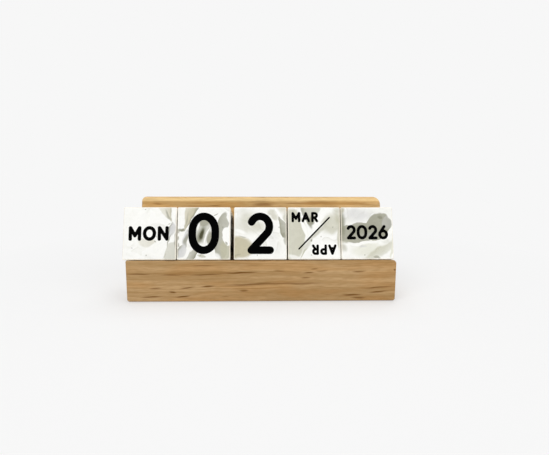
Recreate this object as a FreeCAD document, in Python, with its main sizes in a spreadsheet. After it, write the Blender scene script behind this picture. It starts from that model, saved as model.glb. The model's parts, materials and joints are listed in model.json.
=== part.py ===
"""Block calendar with a drawer, as a parametric FreeCAD document.

Five cast cubes stand in a row on a sloping seat and lean back against a rest.
The seat is the lid of a low wooden case, and a shallow drawer fills that case.

Frame: millimetres, +X along the row to the user's right, +Y away from the user, +Z up.
The origin is the middle of the case's underside, at desk level.
Inside the sketches y is counted backwards from the face of the drawer front.
"""

import FreeCAD
import Part
import Sketcher
import math
import os

OUT_DIR = "parts"

# Driving dimensions: millimetres, apart from the tilt.
SIZES = [
    # the cubes
    ("cube_side", 40.0, "edge length of a cube"),
    ("cube_round", 0.9, "rounding of every cube edge"),
    ("row_overhang", 3.9, "first cube beyond the left cheek"),
    ("row_spare", 0.45, "right cheek beyond the last cube"),
    ("gap_close", 0.5, "between cubes pushed together"),
    ("gap_loose", 0.9, "between the units and the month cube"),
    ("gap_open", 2.7, "between the tens and the units cube"),
    # the lean
    ("tilt", 17.0, "degrees that the cubes lean back"),
    ("seat_height", 33.0, "seat plane above the desk at the drawer front's face"),
    ("seat_gap", 0.2, "under a cube, square to the seat"),
    ("rest_gap", 0.3, "between the cubes and the rest"),
    # the case
    ("case_depth", 63.0, "drawer front's face to the back of the case"),
    ("cheek_thick", 6.0, "cheek"),
    ("cheek_ease", 0.6, "rounding of the cheeks' outer edges"),
    ("base_thick", 2.5, "base board"),
    ("seat_thick", 5.0, "seat board"),
    ("ledge_thick", 6.0, "rear ledge"),
    ("wall_thick", 4.0, "rear wall"),
    # the back rest
    ("rest_rise", 56.8, "along the lean, seat plane to the top of the rest"),
    ("rest_overlap", 1.0, "rest beyond the outside of each cheek"),
    ("rest_thick", 8.0, "rest"),
    ("rest_left_corner", 4.0, "radius of the rest's top left corner"),
    ("rest_right_corner", 6.5, "radius of the rest's top right corner"),
    ("rest_round", 3.2, "rounding along the rest's edges"),
    ("dowel_radius", 1.5, "dowels between the ledge and the rest"),
    ("dowel_inset", 4.6, "rest's front face to the dowels' middle"),
    ("dowel_pitch", 54.0, "between neighbouring dowels"),
    ("dowel_in_ledge", 3.5, "dowel length below the ledge's top"),
    ("dowel_in_rest", 9.0, "dowel length inside the rest"),
    ("dowel_fit", 0.04, "radial room for the glue"),
    # the drawer front
    ("front_overlap", 1.6, "drawer front beyond the outside of each cheek"),
    ("front_thick", 8.0, "drawer front"),
    ("front_lift", 0.6, "drawer front above the desk"),
    ("front_gap", 0.15, "drawer front's top below the seat plane"),
    ("front_back_gap", 0.3, "drawer front to the case"),
    ("front_low_corner", 1.8, "radius of both bottom corners"),
    ("front_left_corner", 1.2, "radius of the top left corner"),
    ("front_right_corner", 3.0, "radius of the top right corner"),
    ("front_round", 0.8, "rounding of the face's edges"),
    # the drawer box
    ("box_wall", 4.0, "sides, back and inner front of the drawer"),
    ("box_side_gap", 0.4, "each side of the box to the cheek"),
    ("box_under_gap", 0.3, "box to the base board"),
    ("box_over_gap", 0.6, "box to the seat and the ledge"),
    ("box_rear_gap", 2.4, "box to the rear wall"),
    ("panel_thick", 1.6, "drawer bottom"),
    ("panel_lift", 1.0, "drawer bottom above the box's lower edge"),
    ("groove_depth", 1.8, "groove that holds the drawer bottom"),
    ("groove_fit", 0.1, "room round the drawer bottom in its groove"),
    ("screw_radius", 1.25, "screw shank"),
    ("screw_head_radius", 2.5, "countersunk head"),
    ("screw_head_height", 1.5, "countersunk head"),
    ("screw_length", 9.5, "head included"),
    ("screw_spacing", 120.0, "between the two screws"),
    ("screw_fit", 0.03, "radial room round the screw"),
]

DOWELS = 4
FRONT_FINGERS = 5  # finger joint of a drawer side with the inner front
REAR_FINGERS = 3  # finger joint of a drawer side with the back

# Places that follow from the driving dimensions.
PLACES = [
    ("lean_sin", "sin(sizes.tilt * 1deg)"),
    ("lean_cos", "cos(sizes.tilt * 1deg)"),
    ("slope", "tan(sizes.tilt * 1deg)"),
    ("front_y", "-sizes.case_depth / 2"),
    ("case_front", "sizes.front_thick + sizes.front_back_gap"),
    # the row of cubes sets the length of the case
    ("row_length", "5 * sizes.cube_side + 2 * sizes.gap_close + sizes.gap_open + sizes.gap_loose"),
    ("case_half", "(places.row_length - sizes.row_overhang + sizes.row_spare) / 2"),
    ("front_half", "places.case_half + sizes.front_overlap"),
    ("rest_half", "places.case_half + sizes.rest_overlap"),
    ("inner_half", "places.case_half - sizes.cheek_thick"),
    # the crease between the seat and the ledge, and the mitre below it
    ("crease_y", "(sizes.cube_side + sizes.rest_gap) * places.lean_cos"),
    ("crease_z", "sizes.seat_height - places.crease_y * places.slope"),
    ("ledge_under", "places.crease_z - sizes.ledge_thick"),
    ("seat_drop", "sizes.seat_thick / places.lean_cos"),
    ("mitre_y", "(sizes.seat_height - places.seat_drop - places.ledge_under) / places.slope"),
    ("seat_front_z", "sizes.seat_height - places.case_front * places.slope"),
    # the drawer front
    ("front_top", "sizes.seat_height - sizes.front_gap / places.lean_cos"),
    # the drawer box
    ("box_half", "places.inner_half - sizes.box_side_gap"),
    ("box_front", "sizes.front_thick"),
    ("box_rear", "sizes.case_depth - sizes.wall_thick - sizes.box_rear_gap"),
    ("box_low", "sizes.base_thick + sizes.box_under_gap"),
    ("box_rear_top", "places.ledge_under - sizes.box_over_gap"),
    ("box_bend_y", "places.mitre_y - sizes.box_over_gap * (1 - places.lean_cos) / places.lean_sin"),
    ("box_front_top", "places.box_rear_top + (places.box_bend_y - places.box_front) * places.slope"),
    ("inner_front_top", "places.box_front_top - sizes.box_wall * places.slope"),
    ("front_finger", "(places.inner_front_top - places.box_low) / %d" % FRONT_FINGERS),
    ("rear_finger", "(places.box_rear_top - places.box_low) / %d" % REAR_FINGERS),
    ("panel_low", "places.box_low + sizes.panel_lift"),
    ("groove_low", "places.panel_low - sizes.groove_fit"),
    ("groove_high", "places.panel_low + sizes.panel_thick + sizes.groove_fit"),
    ("panel_hold", "sizes.groove_depth - sizes.groove_fit"),
    ("screw_z", "(places.groove_high + places.inner_front_top) / 2"),
]

CUBES = ["weekday_cube", "tens_cube", "units_cube", "month_cube", "year_cube"]
CUBE_GAPS = ["sizes.gap_close", "sizes.gap_open", "sizes.gap_loose", "sizes.gap_close"]


def make_document():
    """Makes the document, the sheet of driving dimensions and the places that follow from them."""
    doc = FreeCAD.newDocument("block_calendar")
    sheet = doc.addObject("Spreadsheet::Sheet", "sizes")
    for row, (alias, value, note) in enumerate(SIZES, start=1):
        sheet.set("A%d" % row, alias)
        sheet.set("B%d" % row, str(value))
        sheet.set("C%d" % row, note)
        sheet.setAlias("B%d" % row, alias)
    doc.recompute()
    places = doc.addObject("App::VarSet", "places")
    for name, expression in PLACES:
        places.addProperty("App::PropertyFloat", name)
        places.setExpression(name, expression)
        doc.recompute()
    return doc


def new_body(doc, name):
    """An empty body that stands in the case's frame, with its y counted from the drawer front's face."""
    body = doc.addObject("PartDesign::Body", name)
    body.Label = name
    body.setExpression("Placement.Base.y", "places.front_y")
    return body


def add_sketch(body, role, name):
    """A sketch on one of the body's own origin planes."""
    sketch = body.newObject("Sketcher::SketchObject", name)
    plane = next(item for item in body.Origin.OriginFeatures if item.Role == role)
    sketch.AttachmentSupport = [(plane, "")]
    sketch.MapMode = "FlatFace"
    return sketch


def add_polygon(sketch, corners):
    """A closed outline of straight lines. Each corner is a pair of expressions that its distances are tied to.

    The lines start out as a regular polygon, and the constraints then carry every corner to its place.
    """
    count = len(corners)
    turn = 2 * math.pi / count
    points = [FreeCAD.Vector(math.cos(i * turn), math.sin(i * turn), 0) for i in range(count)]
    first = sketch.GeometryCount
    for i in range(count):
        sketch.addGeometry(Part.LineSegment(points[i], points[(i + 1) % count]), False)
    for i in range(count):
        line = first + i
        sketch.addConstraint(Sketcher.Constraint("Coincident", line, 2, first + (i + 1) % count, 1))
        for kind, start, expression in (("DistanceX", points[i].x, corners[i][0]),
                                        ("DistanceY", points[i].y, corners[i][1])):
            index = sketch.addConstraint(Sketcher.Constraint(kind, -1, 1, line, 1, start))
            name = "%s_%d" % (kind, line)
            sketch.renameConstraint(index, name)
            sketch.setExpression("Constraints." + name, expression)


def add_rectangle(sketch, x_low, x_high, y_low, y_high):
    """A rectangle between two pairs of expressions."""
    add_polygon(sketch, [(x_low, y_low), (x_high, y_low), (x_high, y_high), (x_low, y_high)])


def add_pad(body, sketch, length, side="One side", reverse=False):
    """A pad of the sketch, with its length tied to an expression."""
    pad = body.newObject("PartDesign::Pad", "pad")
    pad.Profile = sketch
    pad.SideType = side
    pad.Reversed = reverse
    pad.setExpression("Length", length)
    body.Document.recompute()
    return pad


def add_pocket(body, sketch, length=None, reverse=False):
    """A pocket of the sketch, to a depth or right through both ways. It has to take something away."""
    before = body.Shape.Volume
    pocket = body.newObject("PartDesign::Pocket", "pocket")
    pocket.Profile = sketch
    pocket.Reversed = reverse
    if length is None:
        pocket.Type = "ThroughAll"
        pocket.SideType = "Symmetric"
    else:
        pocket.Type = "Length"
        pocket.setExpression("Length", length)
    body.Document.recompute()
    if not body.Shape.Volume < before:
        raise RuntimeError("a pocket of %s cuts nothing" % body.Label)
    return pocket


def add_fillet(body, base, radius, wanted):
    """A fillet of the edges whose bounding box passes the test, with its radius tied to an expression."""
    names = ["Edge%d" % n for n, edge in enumerate(base.Shape.Edges, start=1) if wanted(edge.BoundBox)]
    fillet = body.newObject("PartDesign::Fillet", "fillet")
    fillet.Base = (base, names)
    fillet.setExpression("Radius", radius)
    body.Document.recompute()
    return fillet


def near(a, b):
    """True if two lengths agree to a few micrometres."""
    return abs(a - b) < 0.005


def add_profile_board(doc, name, corners, length, side="Symmetric", reverse=False):
    """A body whose outline, seen from the side, is padded along the row."""
    body = new_body(doc, name)
    outline = add_sketch(body, "YZ_Plane", "outline")
    add_polygon(outline, corners)
    pad = add_pad(body, outline, length, side, reverse)
    return body, pad


def cut_from(doc, label, blank, tool):
    """The blank less the tool, under the sub-part's name."""
    cut = doc.addObject("Part::Cut", label)
    cut.Base = blank
    cut.Tool = tool
    cut.Label = label
    doc.recompute()
    if not cut.Shape.Volume < blank.Shape.Volume:
        raise RuntimeError("the cut of %s takes nothing away" % label)
    return cut


def make_base_board(doc):
    """The thin board under the drawer."""
    body, _ = add_profile_board(doc, "base_board", [
        ("places.case_front", "0"),
        ("sizes.case_depth", "0"),
        ("sizes.case_depth", "sizes.base_thick"),
        ("places.case_front", "sizes.base_thick"),
    ], "2 * places.inner_half")
    return body


def make_seat_board(doc):
    """The sloping board that the cubes stand on, mitred to the ledge at its rear edge."""
    body, _ = add_profile_board(doc, "seat_board", [
        ("places.case_front", "places.seat_front_z"),
        ("places.case_front", "places.seat_front_z - places.seat_drop"),
        ("places.mitre_y", "places.ledge_under"),
        ("places.crease_y", "places.crease_z"),
    ], "2 * places.inner_half")
    return body


def make_rear_ledge(doc, holes):
    """The level board behind the seat, in which the rest's dowels stand."""
    blank, _ = add_profile_board(doc, "rear_ledge_blank", [
        ("places.crease_y", "places.crease_z"),
        ("places.mitre_y", "places.ledge_under"),
        ("sizes.case_depth", "places.ledge_under"),
        ("sizes.case_depth", "places.crease_z"),
    ], "2 * places.inner_half")
    return cut_from(doc, "rear_ledge", blank, holes)


def make_rear_wall(doc):
    """The board that closes the case behind the drawer."""
    front = "sizes.case_depth - sizes.wall_thick"
    body, _ = add_profile_board(doc, "rear_wall", [
        (front, "sizes.base_thick"),
        ("sizes.case_depth", "sizes.base_thick"),
        ("sizes.case_depth", "places.ledge_under"),
        (front, "places.ledge_under"),
    ], "2 * places.inner_half")
    return body


def make_cheek(doc, name, side):
    """An end board whose top edge follows the seat and the ledge. Side is -1 on the left and 1 on the right."""
    body, pad = add_profile_board(doc, name, [
        ("places.case_front", "0"),
        ("sizes.case_depth", "0"),
        ("sizes.case_depth", "places.crease_z"),
        ("places.crease_y", "places.crease_z"),
        ("places.case_front", "places.seat_front_z"),
    ], "sizes.cheek_thick", "One side", side < 0)
    box = pad.Shape.BoundBox
    outer = box.XMin if side < 0 else box.XMax
    add_fillet(body, pad, "min(sizes.cheek_ease; sizes.cheek_thick / 2)",
               lambda edge: near(edge.XMin, outer) and near(edge.XMax, outer) and edge.YMax > box.YMin + 1)
    body.setExpression("Placement.Base.x", "%d * places.inner_half" % side)
    return body


def make_dowels(doc, name, room):
    """The dowels between the ledge and the rest, or their holes where there is room round them.

    Each stands along the lean. Its middle line meets the ledge's top at the inset behind the rest's face.
    """
    down = "(sizes.dowel_in_ledge + %s - sizes.dowel_inset * places.slope)" % room
    dowels = []
    for i in range(DOWELS):
        dowel = doc.addObject("Part::Cylinder", "%s_%d" % (name, i + 1))
        dowel.setExpression("Radius", "sizes.dowel_radius + %s" % room)
        dowel.setExpression("Height", "sizes.dowel_in_ledge + sizes.dowel_in_rest + 2 * %s" % room)
        dowel.setExpression("Placement", (
            "placement(vector(%g * sizes.dowel_pitch;"
            " places.front_y + places.crease_y + sizes.dowel_inset * places.lean_cos - %s * places.lean_sin;"
            " places.crease_z - sizes.dowel_inset * places.lean_sin - %s * places.lean_cos);"
            " rotation(vector(-1; 0; 0); sizes.tilt * 1deg))") % (i - (DOWELS - 1) / 2, down, down))
        dowels.append(dowel)
    group = doc.addObject("Part::Compound", name)
    group.Label = name
    group.Links = dowels
    doc.recompute()
    return group


def make_back_rest(doc, holes):
    """The leaning board behind the cubes: round-cornered, soft-edged, with its foot cut level with the ledge."""
    blank = doc.addObject("PartDesign::Body", "back_rest_blank")
    outline = add_sketch(blank, "XZ_Plane", "outline")
    add_rectangle(outline, "-places.rest_half", "places.rest_half", "0", "sizes.rest_rise")
    add_pad(blank, outline, "sizes.rest_thick", reverse=True)
    foot = add_sketch(blank, "YZ_Plane", "foot")
    add_polygon(foot, [
        ("0", "0"),
        ("0", "-sizes.rest_thick"),
        ("sizes.rest_thick", "-sizes.rest_thick"),
        ("sizes.rest_thick", "sizes.rest_thick * places.slope"),
    ])
    footed = add_pocket(blank, foot)
    box = footed.Shape.BoundBox
    board = footed
    for radius, end in (("sizes.rest_left_corner", box.XMin), ("sizes.rest_right_corner", box.XMax)):
        board = add_fillet(blank, board, radius,
                           lambda edge: near(edge.ZMin, box.ZMax) and near(edge.XMin, end) and near(edge.XMax, end))
    add_fillet(blank, board, "min(sizes.rest_round; 0.45 * sizes.rest_thick)",
               lambda edge: near(edge.YMin, edge.YMax) and edge.ZMax > box.ZMin + box.YLength)
    blank.setExpression("Placement", (
        "placement(vector(0; places.front_y + places.crease_y; places.crease_z);"
        " rotation(vector(-1; 0; 0); sizes.tilt * 1deg))"))
    doc.recompute()
    return cut_from(doc, "back_rest", blank, holes)


def make_drawer_front(doc, holes):
    """The board that covers the whole front of the case. Its top edge is planed to the slope of the seat."""
    blank = new_body(doc, "drawer_front_blank")
    outline = add_sketch(blank, "XZ_Plane", "outline")
    add_rectangle(outline, "-places.front_half", "places.front_half", "sizes.front_lift", "places.front_top")
    add_pad(blank, outline, "sizes.front_thick", reverse=True)
    slope = add_sketch(blank, "YZ_Plane", "slope")
    add_polygon(slope, [
        ("0", "places.front_top"),
        ("sizes.front_thick", "places.front_top - sizes.front_thick * places.slope"),
        ("sizes.front_thick", "places.front_top + sizes.front_thick"),
        ("0", "places.front_top + sizes.front_thick"),
    ])
    board = add_pocket(blank, slope)
    box = board.Shape.BoundBox
    for radius, left, right, top in (("sizes.front_low_corner", True, True, box.ZMin),
                                     ("sizes.front_left_corner", True, False, box.ZMax),
                                     ("sizes.front_right_corner", False, True, box.ZMax)):
        board = add_fillet(blank, board, radius, lambda edge: (
            near(edge.YLength, box.YLength) and near(edge.ZMax, top)
            and (left and near(edge.XMax, box.XMin) or right and near(edge.XMin, box.XMax))))
    add_fillet(blank, board, "min(sizes.front_round; 0.8 * sizes.front_left_corner)",
               lambda edge: near(edge.YMin, box.YMin) and near(edge.YMax, box.YMin))
    return cut_from(doc, "drawer_front", blank, holes)


def make_drawer_side(doc, name, side):
    """A drawer side under the seat's slope, with fingers at both ends and a groove for the bottom."""
    body, _ = add_profile_board(doc, name, [
        ("places.box_front", "places.box_low"),
        ("places.box_rear", "places.box_low"),
        ("places.box_rear", "places.box_rear_top"),
        ("places.box_bend_y", "places.box_rear_top"),
        ("places.box_front", "places.box_front_top"),
    ], "sizes.box_wall", "One side", side < 0)
    gaps = add_sketch(body, "YZ_Plane", "finger_gaps")
    for i in range(1, FRONT_FINGERS, 2):
        add_rectangle(gaps, "places.box_front - sizes.box_wall", "places.box_front + sizes.box_wall",
                      "places.box_low + %d * places.front_finger" % i,
                      "places.box_low + %d * places.front_finger" % (i + 1))
    for i in range(1, REAR_FINGERS, 2):
        add_rectangle(gaps, "places.box_rear - sizes.box_wall", "places.box_rear + sizes.box_wall",
                      "places.box_low + %d * places.rear_finger" % i,
                      "places.box_low + %d * places.rear_finger" % (i + 1))
    add_pocket(body, gaps)
    groove = add_sketch(body, "YZ_Plane", "groove")
    stop = "(sizes.box_wall - sizes.groove_depth)"
    add_rectangle(groove, "places.box_front + " + stop, "places.box_rear - " + stop,
                  "places.groove_low", "places.groove_high")
    add_pocket(body, groove, "sizes.groove_depth", reverse=side > 0)
    body.setExpression("Placement.Base.x", "%d * (places.box_half - sizes.box_wall)" % side)
    return body


def make_drawer_end(doc, name, outer_y, top, finger, fingers, groove):
    """The inner front or the back of the drawer. Its fingers fill the gaps of the sides'.

    The groove for the drawer's bottom lies between two distances behind the board's front face.
    """
    body = doc.addObject("PartDesign::Body", name)
    body.Label = name
    body.setExpression("Placement.Base.y", "places.front_y + " + outer_y)
    outline = add_sketch(body, "XZ_Plane", "outline")
    add_rectangle(outline, "-places.box_half", "places.box_half", "places.box_low", top)
    add_pad(body, outline, "sizes.box_wall", reverse=True)
    gaps = add_sketch(body, "XZ_Plane", "finger_gaps")
    for i in range(0, fingers, 2):
        low = "places.box_low + %d * %s" % (i, finger)
        high = "places.box_low + %d * %s" % (i + 1, finger)
        shoulder = "places.box_half - sizes.box_wall"
        beyond = "places.box_half + sizes.box_wall"
        add_rectangle(gaps, "-(%s)" % beyond, "-(%s)" % shoulder, low, high)
        add_rectangle(gaps, shoulder, beyond, low, high)
    add_pocket(body, gaps)
    slot = add_sketch(body, "XY_Plane", "groove")
    reach = "(places.box_half - sizes.box_wall + sizes.groove_depth)"
    add_rectangle(slot, "-" + reach, reach, groove[0], groove[1])
    slot.setExpression("AttachmentOffset.Base.z", "places.groove_low")
    add_pocket(body, slot, "places.groove_high - places.groove_low", reverse=True)
    return body


def make_drawer_inner_front(doc, holes):
    """The board of the drawer box that the drawer front is screwed to."""
    blank = make_drawer_end(doc, "drawer_inner_front_blank", "places.box_front", "places.inner_front_top",
                            "places.front_finger", FRONT_FINGERS,
                            ("sizes.box_wall - sizes.groove_depth", "2 * sizes.box_wall"))
    return cut_from(doc, "drawer_inner_front", blank, holes)


def make_drawer_back(doc):
    """The low board at the rear of the drawer box."""
    return make_drawer_end(doc, "drawer_back", "places.box_rear - sizes.box_wall", "places.box_rear_top",
                           "places.rear_finger", REAR_FINGERS, ("-sizes.box_wall", "sizes.groove_depth"))


def make_drawer_bottom(doc):
    """The thin panel that lies in the grooves."""
    body = new_body(doc, "drawer_bottom")
    outline = add_sketch(body, "XY_Plane", "outline")
    half = "(places.box_half - sizes.box_wall + places.panel_hold)"
    add_rectangle(outline, "-" + half, half,
                  "places.box_front + sizes.box_wall - places.panel_hold",
                  "places.box_rear - sizes.box_wall + places.panel_hold")
    add_pad(body, outline, "sizes.panel_thick")
    body.setExpression("Placement.Base.z", "places.panel_low")
    return body


def make_screws(doc, name, room):
    """The countersunk screws from the box into the drawer front, or their holes where there is room round them."""
    screws = []
    for i, side in enumerate((-1, 1), start=1):
        screw = doc.addObject("PartDesign::Body", "%s_%d" % (name, i))
        section = add_sketch(screw, "XZ_Plane", "section")
        shank = "(sizes.screw_radius + %s)" % room
        tip = "-(sizes.screw_length + %s)" % room
        add_polygon(section, [
            ("0", tip),
            (shank, tip + " + sizes.screw_radius"),
            (shank, "-sizes.screw_head_height"),
            ("sizes.screw_head_radius + %s" % room, "0"),
            ("0", "0"),
        ])
        turned = screw.newObject("PartDesign::Revolution", "turned")
        turned.Profile = section
        turned.ReferenceAxis = (section, ["V_Axis"])
        screw.setExpression("Placement", (
            "placement(vector(%d * sizes.screw_spacing / 2;"
            " places.front_y + places.box_front + sizes.box_wall; places.screw_z);"
            " rotation(vector(-1; 0; 0); 90deg))") % side)
        screws.append(screw)
    group = doc.addObject("Part::Compound", name)
    group.Label = name
    group.Links = screws
    doc.recompute()
    return group


def make_cube(doc, place):
    """One cube, by its place in the row. It leans with the rest and stands just clear of the seat and the rest."""
    body = doc.addObject("PartDesign::Body", CUBES[place])
    body.Label = CUBES[place]
    outline = add_sketch(body, "XY_Plane", "outline")
    add_rectangle(outline, "0", "sizes.cube_side", "0", "sizes.cube_side")
    block = add_pad(body, outline, "sizes.cube_side")
    add_fillet(body, block, "sizes.cube_round", lambda edge: True)
    left = ["-places.case_half - sizes.row_overhang", "%d * sizes.cube_side" % place]
    body.setExpression("Placement", (
        "placement(vector(%s;"
        " places.front_y + sizes.seat_gap * places.lean_sin;"
        " sizes.seat_height + sizes.seat_gap * places.lean_cos);"
        " rotation(vector(-1; 0; 0); sizes.tilt * 1deg))") % " + ".join(left + CUBE_GAPS[:place]))
    return body


def make_parts(doc):
    """Every sub-part, in the order of assembly."""
    dowel_holes = make_dowels(doc, "dowel_holes", "sizes.dowel_fit")
    screw_holes = make_screws(doc, "screw_holes", "sizes.screw_fit")
    parts = [
        make_base_board(doc),
        make_cheek(doc, "left_cheek", -1),
        make_cheek(doc, "right_cheek", 1),
        make_rear_wall(doc),
        make_rear_ledge(doc, dowel_holes),
        make_seat_board(doc),
        make_back_rest(doc, dowel_holes),
        make_dowels(doc, "rest_dowels", "0"),
        make_drawer_bottom(doc),
        make_drawer_inner_front(doc, screw_holes),
        make_drawer_side(doc, "drawer_left_side", -1),
        make_drawer_side(doc, "drawer_right_side", 1),
        make_drawer_back(doc),
        make_drawer_front(doc, screw_holes),
        make_screws(doc, "drawer_screws", "0"),
    ]
    parts += [make_cube(doc, place) for place in range(len(CUBES))]
    doc.recompute()
    return parts


def check_document(doc, parts):
    """Stops the build if any object failed or any sub-part isn't sound."""
    for item in doc.Objects:
        if {"Invalid", "Error"} & set(item.State):
            raise RuntimeError("%s failed: %s" % (item.Label, item.State))
    for part in parts:
        if part.Shape.isNull() or not part.Shape.isValid() or not part.Shape.Solids:
            raise RuntimeError("%s has no sound shape" % part.Label)


def main():
    """Builds the document and writes each sub-part to a STEP file of its own."""
    doc = make_document()
    parts = make_parts(doc)
    check_document(doc, parts)
    os.makedirs(OUT_DIR, exist_ok=True)
    for part in parts:
        part.Shape.exportStep(os.path.join(OUT_DIR, part.Label + ".step"))
        box = part.Shape.BoundBox
        print("%-20s %2d solid(s) %9.1f mm3  x %7.2f %7.2f  y %6.2f %6.2f  z %5.2f %5.2f" % (
            part.Label, len(part.Shape.Solids), part.Shape.Volume,
            box.XMin, box.XMax, box.YMin, box.YMax, box.ZMin, box.ZMax))


main()
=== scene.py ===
"""Looks of the block calendar with a drawer: oiled wood, marbled resin, printed figures and a plain studio.

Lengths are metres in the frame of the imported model, +X along the row of cubes, +Y away from the user, +Z up.
Only the figures and the studio are new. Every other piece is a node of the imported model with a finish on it.
"""

import json
import logging
import math
from dataclasses import dataclass, field, replace
from enum import Enum
from typing import Any, Callable, Sequence, Union

import bpy
import numpy as np
from mathutils import Euler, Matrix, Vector
from mathutils.geometry import delaunay_2d_cdt


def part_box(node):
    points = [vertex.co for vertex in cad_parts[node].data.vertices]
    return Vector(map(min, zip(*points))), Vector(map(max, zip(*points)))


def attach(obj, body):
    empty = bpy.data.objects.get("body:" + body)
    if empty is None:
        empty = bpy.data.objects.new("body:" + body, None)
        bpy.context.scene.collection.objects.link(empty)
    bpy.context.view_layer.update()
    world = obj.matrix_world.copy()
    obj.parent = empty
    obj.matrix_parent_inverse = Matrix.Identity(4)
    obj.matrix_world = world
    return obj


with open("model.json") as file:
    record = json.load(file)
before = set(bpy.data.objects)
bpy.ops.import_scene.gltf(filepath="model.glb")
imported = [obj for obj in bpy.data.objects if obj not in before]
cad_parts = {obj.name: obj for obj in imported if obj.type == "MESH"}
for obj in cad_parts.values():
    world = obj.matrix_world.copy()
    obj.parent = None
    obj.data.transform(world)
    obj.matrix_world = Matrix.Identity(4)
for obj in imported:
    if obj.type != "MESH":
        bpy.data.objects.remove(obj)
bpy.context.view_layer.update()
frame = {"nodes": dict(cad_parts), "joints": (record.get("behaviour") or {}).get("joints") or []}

log = logging.getLogger("calendar")

Pair = tuple[float, float]
Triple = tuple[float, float, float]
Socket = bpy.types.NodeSocket
Value = Union[float, Sequence[float], Socket]

MM = 0.001
ORIGIN: Triple = (0.0, 0.0, 0.0)
NOISE_SPAN: Pair = (0.3, 0.7)
NOISE_MIDDLE = 0.5


def shade(code: str) -> tuple[float, float, float, float]:
    """Turns a hex colour, as seen on a screen, into linear light by the screen's own curve.

    Args:
        code: six hex digits.

    Returns:
        Red, green, blue and an alpha of 1.
    """
    levels = np.array([int(code[i:i + 2], 16) for i in (0, 2, 4)]) / 255.0
    linear = np.where(levels <= 0.04045, levels / 12.92, ((levels + 0.055) / 1.055) ** 2.4)
    return (*(float(x) for x in linear), 1.0)


def even(length: float) -> Triple:
    """Returns the same length along each axis."""
    return (length, length, length)


# --------------------------------------------------------------------------- materials


@dataclass(frozen=True)
class Layer:
    """A noise: its grain along each axis, where it is read, its finer layers, and the span that tells."""

    grain: Triple
    shift: Triple = ORIGIN
    detail: float = 1.0
    roughness: float = 0.5
    span: Pair = NOISE_SPAN

    def at(self, *shift: float) -> "Layer":
        """Returns the same noise, read elsewhere."""
        return replace(self, shift=shift)


@dataclass(frozen=True)
class Push:
    """A slow noise that pushes points about: its grain and reach along each axis, and where it is read."""

    grain: Triple
    reach: Triple
    shift: Triple = ORIGIN
    detail: float = 1.0

    def at(self, *shift: float) -> "Push":
        """Returns the same noise, read elsewhere."""
        return replace(self, shift=shift)


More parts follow.
